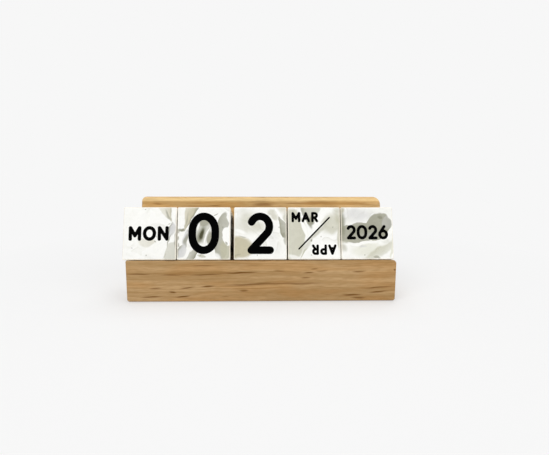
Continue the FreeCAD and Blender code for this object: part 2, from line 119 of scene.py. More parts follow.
class Graph:
    """Writes the node tree of a material or a world. A plain number or colour goes straight on its socket."""

    def __init__(self, owner: bpy.types.Material | bpy.types.World) -> None:
        """Empties the owner's node tree.

        Args:
            owner: the material or the world.
        """
        self.owner = owner
        owner.use_nodes = True
        self.tree = owner.node_tree
        self.tree.nodes.clear()

    def feed(self, socket: Socket, value: Value) -> None:
        """Links another node's result to a socket, or sets a plain value on it.

        Args:
            socket: the socket.
            value: what goes into it.
        """
        if isinstance(value, Socket):
            self.tree.links.new(value, socket)
        else:
            socket.default_value = value

    def put(self, kind: str, inputs: dict[Any, Value] | None = None, **settings: Any) -> bpy.types.Node:
        """Adds a node.

        Args:
            kind: the node's type name, without its first part, ShaderNode.
            inputs: what goes into its sockets, by socket name or number.
            settings: the node's own properties.

        Returns:
            The node.
        """
        node = self.tree.nodes.new("ShaderNode" + kind)
        for key, value in settings.items():
            setattr(node, key, value)
        for key, value in (inputs or {}).items():
            self.feed(node.inputs[key], value)
        return node

    def math(self, operation: str, a: Value, b: Value = 0.0, c: Value = 0.0) -> Socket:
        """Adds a Math node and returns its result."""
        return self.put("Math", {0: a, 1: b, 2: c}, operation=operation).outputs[0]

    def times(self, first: Value, *others: Value) -> Value:
        """Multiplies values.

        Args:
            first: the first value.
            others: the ones that it is multiplied by, in turn.

        Returns:
            The product.
        """
        product = first
        for other in others:
            product = self.math("MULTIPLY", product, other)
        return product

    def vector(self, operation: str, a: Value, b: Value) -> Socket:
        """Adds a Vector Math node and returns its vector."""
        return self.put("VectorMath", {0: a, 1: b}, operation=operation).outputs[0]

    def length(self, a: Value) -> Socket:
        """Returns the length of a vector."""
        return self.put("VectorMath", {0: a}, operation="LENGTH").outputs["Value"]

    def split(self, a: Value) -> list[Socket]:
        """Returns a vector's three numbers."""
        return list(self.put("SeparateXYZ", {0: a}).outputs)

    def into(self, point: Value, centre: Triple, turn: Triple, size: Triple) -> Socket:
        """Turns a point into a frame with its own centre, turn in radians and size along each axis."""
        return self.put("Mapping", {"Vector": point, "Location": centre, "Rotation": turn, "Scale": size},
                        vector_type="TEXTURE").outputs[0]

    def own_point(self, centre: Triple = ORIGIN, turn: Triple = ORIGIN, unit: float = MM) -> Socket:
        """Gives the point in a frame with its own centre, turn and unit, in metres and radians."""
        return self.into(self.put("TexCoord").outputs["Object"], centre, turn, even(unit))

    def stretch(self, point: Value, lengths: Triple, shift: Triple) -> Socket:
        """Divides a point by a length along each axis, and shifts it afterwards."""
        scale = tuple(1.0 / x for x in lengths)
        return self.put("Mapping", {"Vector": point, "Location": shift, "Scale": scale}).outputs[0]

    def noise(self, point: Value, detail: float = 1.0, roughness: float = 0.5) -> bpy.types.Node:
        """Adds a Noise texture with a grain of one unit, whose values mostly lie within NOISE_SPAN."""
        return self.put("TexNoise", {"Vector": point, "Scale": 1.0, "Detail": detail, "Roughness": roughness})

    def layer(self, point: Value, layer: Layer) -> Socket:
        """Returns the value of a noise at a point."""
        return self.noise(self.stretch(point, layer.grain, layer.shift), layer.detail,
                          layer.roughness).outputs["Fac"]

    def warp(self, point: Value, push: Push) -> Socket:
        """Pushes a point about by a slow noise, one way below its middle and the other way above.

        Args:
            point: the point.
            push: the noise, whose reach is how far its ends of 0 and 1 push.

        Returns:
            The pushed point.
        """
        colour = self.noise(self.stretch(point, push.grain, push.shift), push.detail).outputs["Color"]
        centred = self.vector("SUBTRACT", colour, even(NOISE_MIDDLE))
        scale = tuple(x / NOISE_MIDDLE for x in push.reach)
        return self.vector("ADD", point, self.vector("MULTIPLY", centred, scale))

    def spread(self, value: Value, low: float, high: float, to_low: float, to_high: float,
               interpolation: str = "LINEAR") -> Socket:
        """Carries a range of values over to another range, and stops at its ends."""
        return self.put("MapRange", {
            "Value": value, "From Min": low, "From Max": high, "To Min": to_low, "To Max": to_high,
        }, interpolation_type=interpolation).outputs["Result"]

    def smooth(self, value: Value, low: float, high: float) -> Socket:
        """Rises smoothly from 0 at low to 1 at high, or falls where low is above high."""
        return self.spread(value, low, high, 0.0, 1.0, "SMOOTHSTEP")

    def mix(self, share: Value, a: Value, b: Value, blend: str = "MIX") -> Socket:
        """Mixes two colours.

        Args:
            share: how much of the second one there is, 0 to 1.
            a: the first colour.
            b: the second colour.
            blend: the way they mix.

        Returns:
            The mixed colour.
        """
        node = self.put("Mix", {"Factor": share}, data_type="RGBA", blend_type=blend)
        for socket, value in zip([x for x in node.inputs if x.type == "RGBA"], (a, b)):
            self.feed(socket, value)
        return next(x for x in node.outputs if x.type == "RGBA")

    def finish(self, height: Value, depth: float, **inputs: Value) -> bpy.types.Material:
        """Ends the tree in a Principled shader.

        Args:
            height: the height that roughens the surface, 0 to 1.
            depth: how deep a height of 1 is, in metres.
            inputs: what goes into the shader's sockets, with _ for a space.

        Returns:
            The material.
        """
        bump = self.put("Bump", {"Strength": 1.0, "Distance": depth, "Height": height}).outputs[0]
        named = {key.replace("_", " "): value for key, value in inputs.items()}
        shader = self.put("BsdfPrincipled", {"Normal": bump, **named})
        self.put("OutputMaterial", {"Surface": shader.outputs[0]})
        return self.owner


def material_graph(name: str) -> Graph:
    """Makes an empty material and returns the graph that fills it."""
    return Graph(bpy.data.materials.new(name))


class Grain(Enum):
    """Which way a board's fibres run, as the turn that carries the X axis there."""

    ALONG_ROW = (0.0, 0.0, 0.0)
    FRONT_TO_BACK = (0.0, 0.0, math.pi / 2)
    UPRIGHT = (0.0, math.pi / 2, 0.0)


DARK_LINE_PUSH = Push((12.0, 12.0, 4.0), (0.0, 0.0, 0.7), (2.0, 5.0, 1.0))
DARK_LINE_RIM: Pair = (1.0, 0.2)
DARK_LINE_DEPTH = 1000.0


@dataclass(frozen=True)
class Vein:
    """A dark line that runs through a board from front to back: a vein of the wood, or a painted shadow along
    the top edge of the drawer front.

    Its middle, length and width are millimetres of the frame, and its lean is in degrees, upwards to the
    right.
    """

    x: float
    z: float
    length: float
    width: float
    strength: float
    lean: float = 0.0

    def share(self, g: Graph, point: Value) -> Value:
        """Works out how dark the line is at a point: its strength along its middle, and nothing past its rim.

        Args:
            g: the material's tree.
            point: the point in millimetres.

        Returns:
            The share, 0 to its strength.
        """
        turn = (0.0, -math.radians(self.lean), 0.0)
        near = g.into(point, (self.x, 0.0, self.z), turn, (self.length / 2, DARK_LINE_DEPTH, self.width / 2))
        return g.times(g.smooth(g.length(near), *DARK_LINE_RIM), self.strength)


WAVE = Push((70.0, 30.0, 30.0), ORIGIN, (3.1, 7.7, 1.3), 2.0)
FINE_WAVE = Push((200.0, 11.0, 40.0), (0.0, 0.0, 0.9), (6.0, 1.0, 2.0))
BANDS = Layer((130.0, 14.0, 5.0), detail=2.0, span=(0.36, 0.64))
LINES = Layer((85.0, 9.0, 1.2), (1.0, 4.0, 2.0), 2.0, 0.6, (0.50, 0.70))
FLECKS = Layer((22.0, 2.4, 0.85), (5.0, 2.0, 9.0))
FLECK_RISE = 0.10
FLECKED_BANDS: Pair = (0.40, 0.56)
HUES = Layer((42.0, 12.0, 7.0), (8.0, 8.0, 8.0), span=(0.42, 0.62))
MOTTLE = Layer((7.0, 2.0, 1.1), (4.0, 1.0, 5.0), span=(0.35, 0.70))


@dataclass(frozen=True)
class Wear:
    """A painted highlight: the pale band along a board's rounded upper edge, which catches the light from
    above.

    It starts and it fades over two stretches, in millimetres from the edge's top, and less of it is left
    at the top, on the dark lines and in the mottle.
    """

    start: Pair = (-5.2, -3.2)
    fade: Pair = (-2.6, -0.2)
    at_top: float = 0.35
    lines: Pair = (0.42, 0.66)
    on_lines: float = 0.72
    in_mottle: float = 0.8

    def share(self, g: Graph, above: Value, lines: Value, mottle: Value) -> Value:
        """Works out how strong the painted highlight is at a point.

        Args:
            g: the material's tree.
            above: how far the point lies above the edge's top, in millimetres.
            lines: the value of the wood's lines there.
            mottle: the value of its mottle there.

        Returns:
            The share, 0 to 1.
        """
        band = g.times(g.smooth(above, *self.start), g.spread(above, *self.fade, 1.0, self.at_top))
        left = g.times(g.spread(lines, *self.lines, 1.0, self.on_lines),
                       g.spread(mottle, *MOTTLE.span, 1.0, self.in_mottle))
        return g.times(band, left)


@dataclass(frozen=True)
class Wood:
    """Oiled hardwood cut from one log. Lengths inside are millimetres, with x along the fibres."""

    name: str
    light: str = "c2a073"
    middle: str = "b08e60"
    streak: str = "96723f"
    pore: str = "6f4720"
    # The colour of the painted highlight on a rounded upper edge.
    rubbed: str = "ffe0ac"
    wave: float = 3.2
    lines: float = 0.60
    hues: float = 0.35
    mottle: float = 0.34
    flecks: float = 0.85
    fleck_start: float = 0.64
    veins: tuple[Vein, ...] = ()
    wear: Wear = Wear()
    line_height: float = 0.5
    fleck_depth: float = 0.6
    relief: float = 0.10
    roughness: Pair = (0.48, 0.65)
    gloss: float = 0.2

    def material(self, part: str, grain: Grain, shift: Triple, lean: float,
                 edge: Triple | None) -> bpy.types.Material:
        """Makes the wood of one board.

        Args:
            part: the board's name.
            grain: which way its fibres run.
            shift: where in the log it was cut, in millimetres.
            lean: how far the board leans back, in radians.
            edge: a point on its rounded upper edge, in metres, where that edge gets a painted highlight.

        Returns:
            The material.
        """
        g = material_graph(f"{self.name}_{part}")
        turn = Euler((-lean, 0.0, 0.0)).to_matrix() @ Euler(grain.value).to_matrix()
        point = g.own_point(tuple(-MM * x for x in shift), tuple(turn.to_euler()))
        wavy = g.warp(point, replace(WAVE, reach=(0.0, self.wave, self.wave)))
        wavy = g.warp(wavy, FINE_WAVE)
        bands, lines, flecks, hues = (g.layer(wavy, layer) for layer in (BANDS, LINES, FLECKS, HUES))
        mottle = g.layer(point, MOTTLE)
        fleck = g.times(g.smooth(flecks, self.fleck_start, self.fleck_start + FLECK_RISE),
                        g.smooth(bands, *FLECKED_BANDS))
        colour = g.mix(g.smooth(bands, *BANDS.span), shade(self.light), shade(self.middle))
        colour = g.mix(g.times(g.smooth(lines, *LINES.span), self.lines), colour, shade(self.streak))
        colour = g.mix(g.spread(hues, *HUES.span, 0.0, self.hues), colour, shade(self.middle), "SOFT_LIGHT")
        colour = g.mix(g.spread(mottle, *MOTTLE.span, 0.0, self.mottle), colour, shade(self.streak))
        colour = g.mix(g.times(fleck, self.flecks), colour, shade(self.pore))
        # Painted highlight: the rounded upper edge is paler where it faces the light from above.
        if edge is not None:
            above = g.split(g.own_point(edge, (-lean, 0.0, 0.0)))[2]
            colour = g.mix(self.wear.share(g, above, lines, mottle), colour, shade(self.rubbed))
        # Veins, and on the drawer front also a painted shadow along its top edge, in the pore colour.
        if self.veins:
            bent = g.warp(g.own_point(), DARK_LINE_PUSH)
            for dark_line in self.veins:
                colour = g.mix(dark_line.share(g, bent), colour, shade(self.pore))
        height = g.math("SUBTRACT", g.times(lines, self.line_height), g.times(fleck, self.fleck_depth))
        return g.finish(height, self.relief * MM, Base_Color=colour, Specular_IOR_Level=self.gloss,
                        Roughness=g.spread(lines, *NOISE_SPAN, *self.roughness))


@dataclass(frozen=True)
class Ink:
    """Thick black screen print, with the faint stipple of a screen. Lengths are millimetres."""

    name: str = "print_black"
    colour: str = "000000"
    stipple: float = 0.4
    relief: float = 0.01
    roughness: Pair = (0.5, 0.62)
    gloss: float = 0.02

    def material(self) -> bpy.types.Material:
        """Makes the print.

        Returns:
            The material.
        """
        g = material_graph(self.name)
        stipple = g.noise(g.own_point(unit=self.stipple * MM)).outputs["Fac"]
        return g.finish(stipple, self.relief * MM, Base_Color=shade(self.colour),
                        Specular_IOR_Level=self.gloss,
                        Roughness=g.spread(stipple, *NOISE_SPAN, *self.roughness))


@dataclass(frozen=True)
class Steel:
    """Zinc-plated steel, faintly brushed. Lengths are millimetres."""

    name: str = "screw_steel"
    bright: str = "b4b6b8"
    dull: str = "8f9294"
    brushing: float = 0.5
    detail: float = 3.0
    relief: float = 0.01
    roughness: Pair = (0.28, 0.45)

    def material(self) -> bpy.types.Material:
        """Makes the plated steel.

        Returns:
            The material.
        """
        g = material_graph(self.name)
        brushed = g.noise(g.own_point(unit=self.brushing * MM), self.detail).outputs["Fac"]
        return g.finish(brushed, self.relief * MM, Metallic=1.0,
                        Base_Color=g.mix(brushed, shade(self.bright), shade(self.dull)),
                        Roughness=g.spread(brushed, *NOISE_SPAN, *self.roughness))


class Tint(Enum):
    """The tints of the resin, as hex colours."""

    WHITE = "fdfdf9"
    VEIL = "e4e4d5"
    MIST = "cfcfce"
    SAND = "c4bda1"
    REED = "bebca4"
    CLOUD = "bcbba8"
    STONE = "a7a695"
    DEEP = "90907c"
    CORE = "45452c"


@dataclass(frozen=True)
class Swirl:
    """A fold of tinted resin that shows on the front of a cube, or a painted shade beside a seam between
    cubes.

    Lengths are half cube sides, from the middle of the face, x to the right and z up. The fold is an
    ellipsoid round its centre. It leans to the right, in degrees, is bent by moving its own x by bow times
    its own z squared, and grows wider upwards by taper. It fades by fade to its left, or to its right where
    fade is negative, and its other side darkens by rim.
    """

    centre: Pair
    size: Pair
    tint: Tint
    strength: float = 1.0
    soft: float = 0.12
    lean: float = 0.0
    fade: float = 0.0
    bow: float = 0.0
    taper: float = 0.0
    rim: float = 0.0


FRONT_FACE = -1.0


@dataclass(frozen=True)
class Resin:
    """White cast resin, marbled with folds of grey-olive. Lengths inside are half cube sides."""

    name: str = "marbled_resin"
    white: str = "fbfbf7"
    # The edge colour is a painted highlight along every rounded edge.
    edge: str = "fff8e8"
    fold_depth: float = 0.7
    least_width: float = 0.05
    rim_rise: Pair = (0.50, 0.92)
    rim_end: Pair = (1.0, 0.93)
    rim_side: Pair = (-0.1, 0.8)
    pour: Push = Push(even(1.0), even(0.7))
    curl: Push = Push(even(0.34), even(0.09), detail=2.0)
    stir: Push = Push(even(0.50), (0.11, 0.0, 0.11))
    ripple: Push = Push(even(0.20), (0.035, 0.0, 0.035))
    turns: float = 5.0
    turn_end: Pair = (1.0, 0.95)
    rise: float = 1.6
    crest: float = 5.0
    patches: Layer = Layer(even(0.8))
    cloud_patches: Pair = (0.46, 0.60)
    deep_patches: Pair = (0.54, 0.64)
    front: Pair = (-0.98, -0.7)
    front_share: float = 0.13
    speck_density: float = 2.3
    speck_rim: Pair = (0.09, 0.04)
    speck_share: float = 0.45
    edge_rise: Pair = (0.95, 0.985)
    edge_share: float = 0.7
    skin: Layer = Layer(even(0.25), detail=2.0)
    relief: float = 0.02
    roughness: Pair = (0.20, 0.33)
    gloss: float = 0.3

    def fold(self, g: Graph, point: Value, swirl: Swirl, colour: Value) -> Value:
        """Lays one placed fold, or painted shade beside a seam, over a colour.

        Args:
            g: the material's tree.
            point: the point.
            swirl: the fold.
            colour: what lies under it.

        Returns:
            The new colour.
        """
        turn = (0.0, math.radians(swirl.lean), 0.0)
        size = (swirl.size[0], self.fold_depth, swirl.size[1])
        near = g.into(point, (swirl.centre[0], FRONT_FACE, swirl.centre[1]), turn, size)
        wide, deep, high = g.split(near)
        if swirl.bow:
            wide = g.math("SUBTRACT", wide, g.times(high, high, swirl.bow))
        if swirl.taper:
            growth = g.math("MULTIPLY_ADD", high, swirl.taper, 1.0)
            wide = g.math("DIVIDE", wide, g.math("MAXIMUM", growth, self.least_width))
        if swirl.bow or swirl.taper:
            near = g.put("CombineXYZ", {0: wide, 1: deep, 2: high}).outputs[0]
        away = g.length(near)
        side = math.copysign(1.0, swirl.fade)
        share = g.times(g.smooth(away, 1.0, 1.0 - swirl.soft), swirl.strength)
        if swirl.fade:
            share = g.times(share, g.spread(wide, -side, side, 1.0 - abs(swirl.fade), 1.0))
        colour = g.mix(share, colour, shade(swirl.tint.value))
        if swirl.rim:
            band = g.times(g.smooth(away, *self.rim_rise), g.smooth(away, *self.rim_end))
            start, end = (side * x for x in self.rim_side)
            band = g.times(band, g.spread(wide, start, end, 0.0, swirl.rim))
            colour = g.mix(band, colour, shade(Tint.DEEP.value))
        return colour

    def marbling(self, g: Graph, point: Value, share: Value, seed: float) -> Value:
        """Makes the marbling that runs through a whole cube.

        A slow noise, pushed about by others, is cut into turns that rise gently and end in a crisp fold.

        Args:
            g: the material's tree.
            point: the point.
            share: how strong the marbling is there.
            seed: where in the marbling the cube was cast.

        Returns:
            The colour.
        """
        poured = g.warp(point, self.pour.at(seed, 2.0 * seed, 3.0))
        poured = g.warp(poured, self.curl.at(5.0, seed, seed))
        turn = g.math("FRACT", g.times(g.noise(poured).outputs["Fac"], self.turns))
        fold = g.times(g.math("POWER", turn, self.rise), g.smooth(turn, *self.turn_end))
        crest = g.math("POWER", turn, self.crest)
        patches = g.layer(poured, self.patches.at(seed, 9.0, 0.0))
        colour = g.mix(g.times(fold, share), shade(self.white), shade(Tint.VEIL.value))
        cloudy = g.times(fold, g.smooth(patches, *self.cloud_patches), share)
        colour = g.mix(cloudy, colour, shade(Tint.CLOUD.value))
        deepest = g.times(crest, g.smooth(patches, *self.deep_patches), share)
        return g.mix(deepest, colour, shade(Tint.DEEP.value))

    def material(self, cube: str, centre: Triple, lean: float, half: float, seed: float,
                 swirls: Sequence[Swirl]) -> bpy.types.Material:
        """Makes the resin of one cube. Its marbling is weaker on the front, where the placed folds are.

        A point lies near an edge where the second largest of its distances from the middle planes is near 1,
        and there it gets a painted highlight.

        Args:
            cube: the cube's name.
            centre: its centre, in metres.
            lean: how far it leans back, in radians.
            half: half its side, in metres.
            seed: where in the marbling it was cast.
            swirls: the folds, and the painted shade beside the seams, that are placed one by one.

        Returns:
            The material.
        """
        g = material_graph(f"{self.name}_{cube}")
        point = g.own_point(centre, (-lean, 0.0, 0.0), half)
        across = g.split(point)
        wide, deep, high = (g.math("ABSOLUTE", x) for x in across)
        share = g.spread(across[1], *self.front, self.front_share, 1.0)
        colour = self.marbling(g, point, share, seed)
        stirred = g.warp(point, self.stir.at(seed, 1.0, 4.0))
        stirred = g.warp(stirred, self.ripple.at(4.0, seed, 2.0))
        for swirl in swirls:
            colour = self.fold(g, stirred, swirl, colour)
        speck = g.put("TexVoronoi", {"Vector": point, "Scale": self.speck_density}).outputs["Distance"]
        specks = g.times(g.smooth(speck, *self.speck_rim), self.speck_share)
        colour = g.mix(specks, colour, shade(Tint.DEEP.value))
        # Painted highlight: cream along every edge, where the rounded arris catches the light.
        second = g.math("MAXIMUM", g.math("MINIMUM", wide, deep),
                        g.math("MAXIMUM", g.math("MINIMUM", deep, high), g.math("MINIMUM", wide, high)))
        edges = g.times(g.smooth(second, *self.edge_rise), self.edge_share)
        colour = g.mix(edges, colour, shade(self.edge))
        skin = g.layer(point, self.skin)
        return g.finish(skin, self.relief * MM, Base_Color=colour, Specular_IOR_Level=self.gloss,
                        Roughness=g.spread(skin, *NOISE_SPAN, *self.roughness))


# --------------------------------------------------------------------------- figures

HALF_TURN = 180.0
LEAST_STEPS = 3
INSIDE_ONLY = 1
SAME_POINT = 1e-5
LEAST_AREA = 1e-9


@dataclass(frozen=True)
class Run:
    """Straight strokes through a row of points."""

    points: tuple[Pair, ...]

    def lines(self) -> list[np.ndarray]:
        """Returns one middle line for each straight stroke."""
        corners = np.array(self.points)
        return [corners[i:i + 2] for i in range(len(corners) - 1)]


@dataclass(frozen=True)
class Bow:
    """A stroke along part of an ellipse, from one angle to another in degrees, in steps of about step."""

    centre: Pair
    reach: Pair
    start: float
    end: float
    step: float = 9.0

    def lines(self) -> list[np.ndarray]:
        """Makes middle lines of at most half a turn, each point the centre plus the reach times (cos, sin).

        Returns:
            The middle lines.
        """
        halves = max(1, math.ceil(abs(self.end - self.start) / HALF_TURN))
        ends = np.radians(np.linspace(self.start, self.end, halves + 1))
        count = max(LEAST_STEPS, math.ceil(abs(self.end - self.start) / halves / self.step)) + 1
        turns = [np.linspace(ends[i], ends[i + 1], count) for i in range(halves)]
        return [np.array(self.centre) + np.array(self.reach) * np.stack([np.cos(turn), np.sin(turn)], 1)
                for turn in turns]


@dataclass(frozen=True)
class Glyph:
    """A letter or number as the middle lines of its strokes, one unit high and as wide as width."""

    width: float
    strokes: tuple[Run | Bow, ...]


def run(*numbers: float) -> Run:
    """Makes straight strokes from x, y, x, y and so on."""
    return Run(tuple(zip(numbers[::2], numbers[1::2])))


def bow(x: float, y: float, reach_x: float, reach_y: float, start: float, end: float) -> Bow:
    """Makes a bowed stroke round x, y."""
    return Bow((x, y), (reach_x, reach_y), start, end)


GLYPHS: dict[str, Glyph] = {
    "0": Glyph(0.67, (bow(0.335, 0.57, 0.335, 0.43, 0, 180), run(0, 0.57, 0, 0.43),
                      bow(0.335, 0.43, 0.335, 0.43, 180, 360), run(0.67, 0.43, 0.67, 0.57))),
    "1": Glyph(0.28, (run(0, 0.80, 0.26, 1, 0.26, 0),)),
    "2": Glyph(0.57, (bow(0.275, 0.70, 0.275, 0.30, 154, -38), run(0.492, 0.515, 0.02, 0, 0.57, 0))),
    "3": Glyph(0.56, (bow(0.26, 0.76, 0.25, 0.24, 150, -90), run(0.17, 0.52, 0.26, 0.52),
                      bow(0.26, 0.26, 0.30, 0.26, 90, -155))),
    "4": Glyph(0.64, (run(0.47, 0, 0.47, 1, 0, 0.27, 0.64, 0.27),)),
    "5": Glyph(0.56, (run(0.50, 1, 0.09, 1, 0.05, 0.53), bow(0.26, 0.31, 0.30, 0.31, 134, -150))),
    "6": Glyph(0.60, (bow(0.30, 0.31, 0.30, 0.31, 0, 360), run(0.04, 0.46, 0.40, 1))),
    "7": Glyph(0.56, (run(0, 1, 0.56, 1, 0.18, 0),)),
    "8": Glyph(0.58, (bow(0.29, 0.765, 0.235, 0.235, 0, 360), bow(0.29, 0.27, 0.29, 0.27, 0, 360))),
    "9": Glyph(0.60, (bow(0.30, 0.69, 0.30, 0.31, 0, 360), run(0.56, 0.54, 0.20, 0))),
    "A": Glyph(0.74, (run(0, 0, 0.37, 1, 0.74, 0), run(0.13, 0.33, 0.61, 0.33))),
    "B": Glyph(0.55, (run(0.30, 0, 0, 0, 0, 1, 0.29, 1), run(0, 0.52, 0.29, 0.52),
                      bow(0.29, 0.76, 0.22, 0.24, 90, -90), bow(0.29, 0.26, 0.26, 0.26, 90, -90))),
    "C": Glyph(0.70, (bow(0.41, 0.50, 0.41, 0.50, 46, 314),)),
    "D": Glyph(0.66, (run(0.22, 0, 0, 0, 0, 1, 0.22, 1), bow(0.22, 0.50, 0.44, 0.50, 90, -90))),
    "E": Glyph(0.50, (run(0.50, 1, 0, 1, 0, 0, 0.50, 0), run(0, 0.50, 0.45, 0.50))),
    "F": Glyph(0.50, (run(0.50, 1, 0, 1, 0, 0), run(0, 0.49, 0.43, 0.49))),
    "G": Glyph(0.80, (bow(0.41, 0.50, 0.41, 0.50, 48, 360), run(0.50, 0.50, 0.82, 0.50))),
    "H": Glyph(0.64, (run(0, 0, 0, 1), run(0.64, 0, 0.64, 1), run(0, 0.50, 0.64, 0.50))),
    "I": Glyph(0.02, (run(0, 0, 0, 1),)),
    "J": Glyph(0.42, (run(0.42, 1, 0.42, 0.27), bow(0.18, 0.27, 0.24, 0.27, 0, -140))),
    "L": Glyph(0.48, (run(0, 1, 0, 0, 0.48, 0),)),
    "M": Glyph(0.80, (run(0, 0, 0, 1, 0.40, 0.30, 0.80, 1, 0.80, 0),)),
    "N": Glyph(0.66, (run(0, 0, 0, 1, 0.66, 0, 0.66, 1),)),
    "O": Glyph(0.86, (bow(0.43, 0.50, 0.43, 0.50, 0, 360),)),
    "P": Glyph(0.54, (run(0, 0, 0, 1, 0.27, 1), run(0, 0.46, 0.27, 0.46),
                      bow(0.27, 0.73, 0.27, 0.27, 90, -90))),
    "R": Glyph(0.56, (run(0, 0, 0, 1, 0.27, 1), run(0, 0.46, 0.27, 0.46, 0.56, 0),
                      bow(0.27, 0.73, 0.27, 0.27, 90, -90))),
    "S": Glyph(0.54, (bow(0.27, 0.75, 0.25, 0.25, 32, 270), bow(0.27, 0.25, 0.27, 0.25, 90, -148))),
    "T": Glyph(0.62, (run(0, 1, 0.62, 1), run(0.31, 1, 0.31, 0))),
    "U": Glyph(0.64, (run(0, 1, 0, 0.32), bow(0.32, 0.32, 0.32, 0.32, 180, 360), run(0.64, 0.32, 0.64, 1))),
    "V": Glyph(0.70, (run(0, 1, 0.35, 0, 0.70, 1),)),
    "W": Glyph(1.02, (run(0, 1, 0.25, 0, 0.51, 0.85, 0.77, 0, 1.02, 1),)),
    "Y": Glyph(0.68, (run(0, 1, 0.34, 0.45, 0.68, 1), run(0.34, 0.45, 0.34, 0))),
}


def stroke_outline(middle: np.ndarray, half_width: float, cap_points: int = 7) -> np.ndarray:
    """Draws the outline of a stroke with round ends.

    The sides are the middle line moved along its normals by half the width, and each end is a half circle.

    Args:
        middle: the middle line's points, one row each.
        half_width: half the stroke's width.
        cap_points: points inside each half circle.

    Returns:
        The outline's points, anticlockwise.
    """
    along = np.gradient(middle, axis=0)
    along /= np.linalg.norm(along, axis=1, keepdims=True)
    left = np.stack([-along[:, 1], along[:, 0]], 1)
    angle = np.linspace(0.0, np.pi, cap_points + 2)[1:-1, None]
    end_cap = middle[-1] + half_width * (-np.cos(angle) * left[-1] + np.sin(angle) * along[-1])
    start_cap = middle[0] + half_width * (np.cos(angle) * left[0] - np.sin(angle) * along[0])
    side = half_width * left
    return np.concatenate([middle - side, end_cap, (middle + side)[::-1], start_cap])


@dataclass(frozen=True)
class Lettering:
    """A size of lettering in millimetres: its height, its strokes' width and the gap between letters."""

    height: float
    stroke: float
    gap: float = 0.0


@dataclass(frozen=True)
class Word:
    """A word on a face, with its place in millimetres from the middle of the face."""

    text: str
    lettering: Lettering
    middle: Pair = (0.0, 0.0)
    upside_down: bool = False

    def outlines(self) -> list[np.ndarray]:
        """Draws the word letter by letter, centred on its middle.

        Returns:
            The outline of each stroke.
        """
        size = self.lettering
        span = size.height - size.stroke
        outlines, left = [], 0.0
        for letter in self.text:
            glyph = GLYPHS[letter]
            shift = np.array([left + size.stroke / 2, size.stroke / 2])
            for stroke in glyph.strokes:
                outlines += [stroke_outline(line * span + shift, size.stroke / 2) for line in stroke.lines()]
            left += glyph.width * span + size.stroke + size.gap
        centre = np.array([(left - size.gap) / 2, size.height / 2])
        way = -1.0 if self.upside_down else 1.0
        return [(outline - centre) * way + np.array(self.middle) for outline in outlines]


@dataclass(frozen=True)
class Slash:
    """A thin slanting line through the middle of a face, in millimetres."""

    reach: Pair
    stroke: float
    cap_points: int = 3

    def outlines(self) -> list[np.ndarray]:
        """Returns the line's outline."""
        corner = np.array(self.reach)
        return [stroke_outline(np.stack([-corner, corner]), self.stroke / 2, self.cap_points)]


class Face(Enum):
    """A cube's faces: the way each looks, and which way is up on it, in the cube's own frame."""

    FRONT = ((0, -1, 0), (0, 0, 1))
    TOP = ((0, 0, 1), (0, 1, 0))
    BACK = ((0, 1, 0), (0, 0, 1))
    BOTTOM = ((0, 0, -1), (0, -1, 0))
    LEFT = ((-1, 0, 0), (0, 0, 1))
    RIGHT = ((1, 0, 0), (0, 0, 1))


def union(outlines: Sequence[np.ndarray]) -> tuple[np.ndarray, np.ndarray]:
    """Joins overlapping outlines into one flat net of triangles.

    Args:
        outlines: anticlockwise outlines.

    Returns:
        The points, and the triangles that lie in any outline, anticlockwise.
    """
    points = np.concatenate(outlines)
    starts = np.cumsum([0] + [len(outline) for outline in outlines])
    loops = [list(range(starts[i], starts[i + 1])) for i in range(len(outlines))]
    joined = delaunay_2d_cdt([Vector(p) for p in points], [], loops, INSIDE_ONLY, SAME_POINT, True)
    corners, faces, sources = joined[0], joined[2], joined[5]
    flat = np.array([tuple(c) for c in corners])
    kept = np.array([face for face, source in zip(faces, sources) if source and len(face) == 3])
    a, b, c = (flat[kept[:, i]] for i in range(3))
    area = (b[:, 0] - a[:, 0]) * (c[:, 1] - a[:, 1]) - (b[:, 1] - a[:, 1]) * (c[:, 0] - a[:, 0])
    kept = np.where(area[:, None] < 0, kept[:, ::-1], kept)
    return flat, kept[np.abs(area) > LEAST_AREA]


def plate(flat: np.ndarray, triangles: np.ndarray, low: float, high: float) -> tuple[np.ndarray, np.ndarray]:
    """Gives a flat net a thickness: the net on top, turned over below, and a wall on each rim edge.

    Args:
        flat: the net's points.
        triangles: its triangles, anticlockwise.
        low: the height of the underside.
        high: the height of the top.

    Returns:
        The points, three numbers each, and the triangles of the closed plate.
    """
    count = len(flat)
    top = np.column_stack([flat, np.full(count, high)])
    under = np.column_stack([flat, np.full(count, low)])
    edges = np.concatenate([triangles[:, [0, 1]], triangles[:, [1, 2]], triangles[:, [2, 0]]])
    key = edges[:, 0] * count + edges[:, 1]
    rim = edges[~np.isin(key, edges[:, 1] * count + edges[:, 0])]
    a, b = rim[:, 0], rim[:, 1]
    wall = np.concatenate([np.stack([b, a, a + count], 1), np.stack([b, a + count, b + count], 1)])
    return np.concatenate([top, under]), np.concatenate([triangles, triangles[:, ::-1] + count, wall])


def mesh_object(name: str, points: np.ndarray, triangles: np.ndarray) -> bpy.types.Object:
    """Makes a mesh object at the origin from the points that its triangles use.

    Args:
        name: its name.
        points: the points in metres.
        triangles: the triangles.

    Returns:
        The object.
    """
    used, index = np.unique(triangles, return_inverse=True)
    mesh = bpy.data.meshes.new(name)
    mesh.from_pydata(points[used].tolist(), [], index.reshape(triangles.shape).tolist())
    mesh.validate()
    piece = bpy.data.objects.new(name, mesh)
    bpy.context.scene.collection.objects.link(piece)
    return piece


def dress(piece: bpy.types.Object, material: bpy.types.Material) -> None:
    """Puts one material on a piece."""
    piece.data.materials.clear()
    piece.data.materials.append(material)


# --------------------------------------------------------------------------- sub-assemblies


def row_lean() -> float:
    """Reads how far the cubes and the rest lean back from the way the cubes lift out, in radians."""
    lift = next(joint for joint in frame["joints"] if joint["name"] == "tens_lift")["axis"]
    return math.atan2(lift[1], lift[2])


